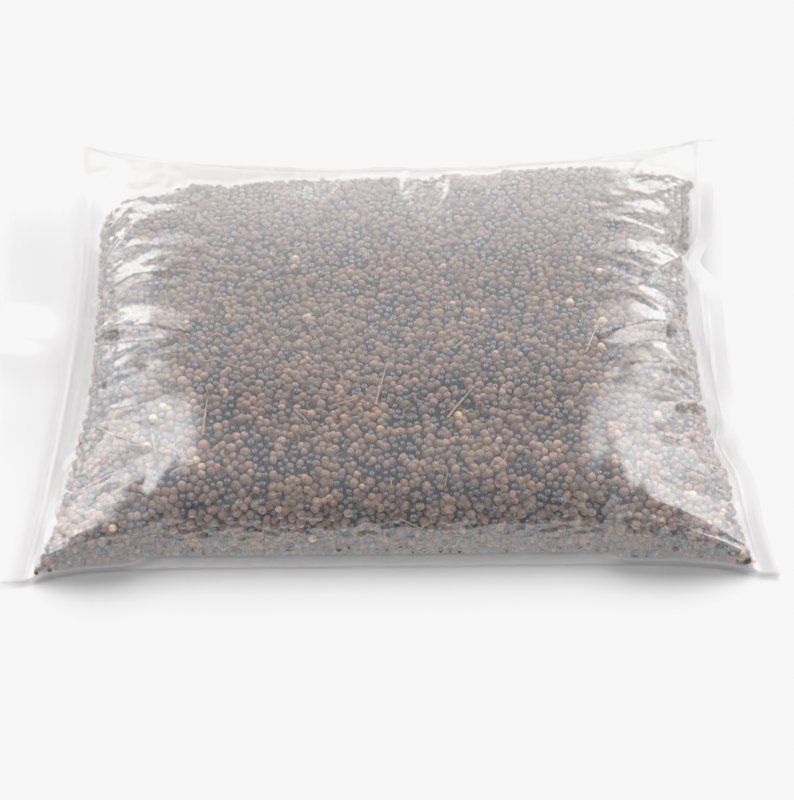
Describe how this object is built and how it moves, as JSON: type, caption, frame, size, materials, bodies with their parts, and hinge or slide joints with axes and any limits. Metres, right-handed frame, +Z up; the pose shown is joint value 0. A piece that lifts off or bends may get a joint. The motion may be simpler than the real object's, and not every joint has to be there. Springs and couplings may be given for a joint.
{
  "type": "bag of sichuan pepper",
  "caption": "Sealed clear plastic film bag, lying flat, filled with dried Sichuan pepper husks, black seeds and twigs, with an open flap of film beyond one seal.",
  "frame": {"origin": "under the middle of the whole bag, on the surface that it lies on", "axes": "+X from the mouth flap to the bottom seal, +Y from the near crease to the far crease, +Z up"},
  "size_m": [0.3553, 0.25, 0.046],
  "materials": {
    "clear_film": "glossy clear polyethylene film, slightly hazy",
    "pepper_husk": "matt, rough dried husks"
  },
  "bodies": {
    "root": {"film_upper": "clear_film", "film_lower": "clear_film", "pepper_fill": "pepper_husk"}
  },
  "joints": []
}
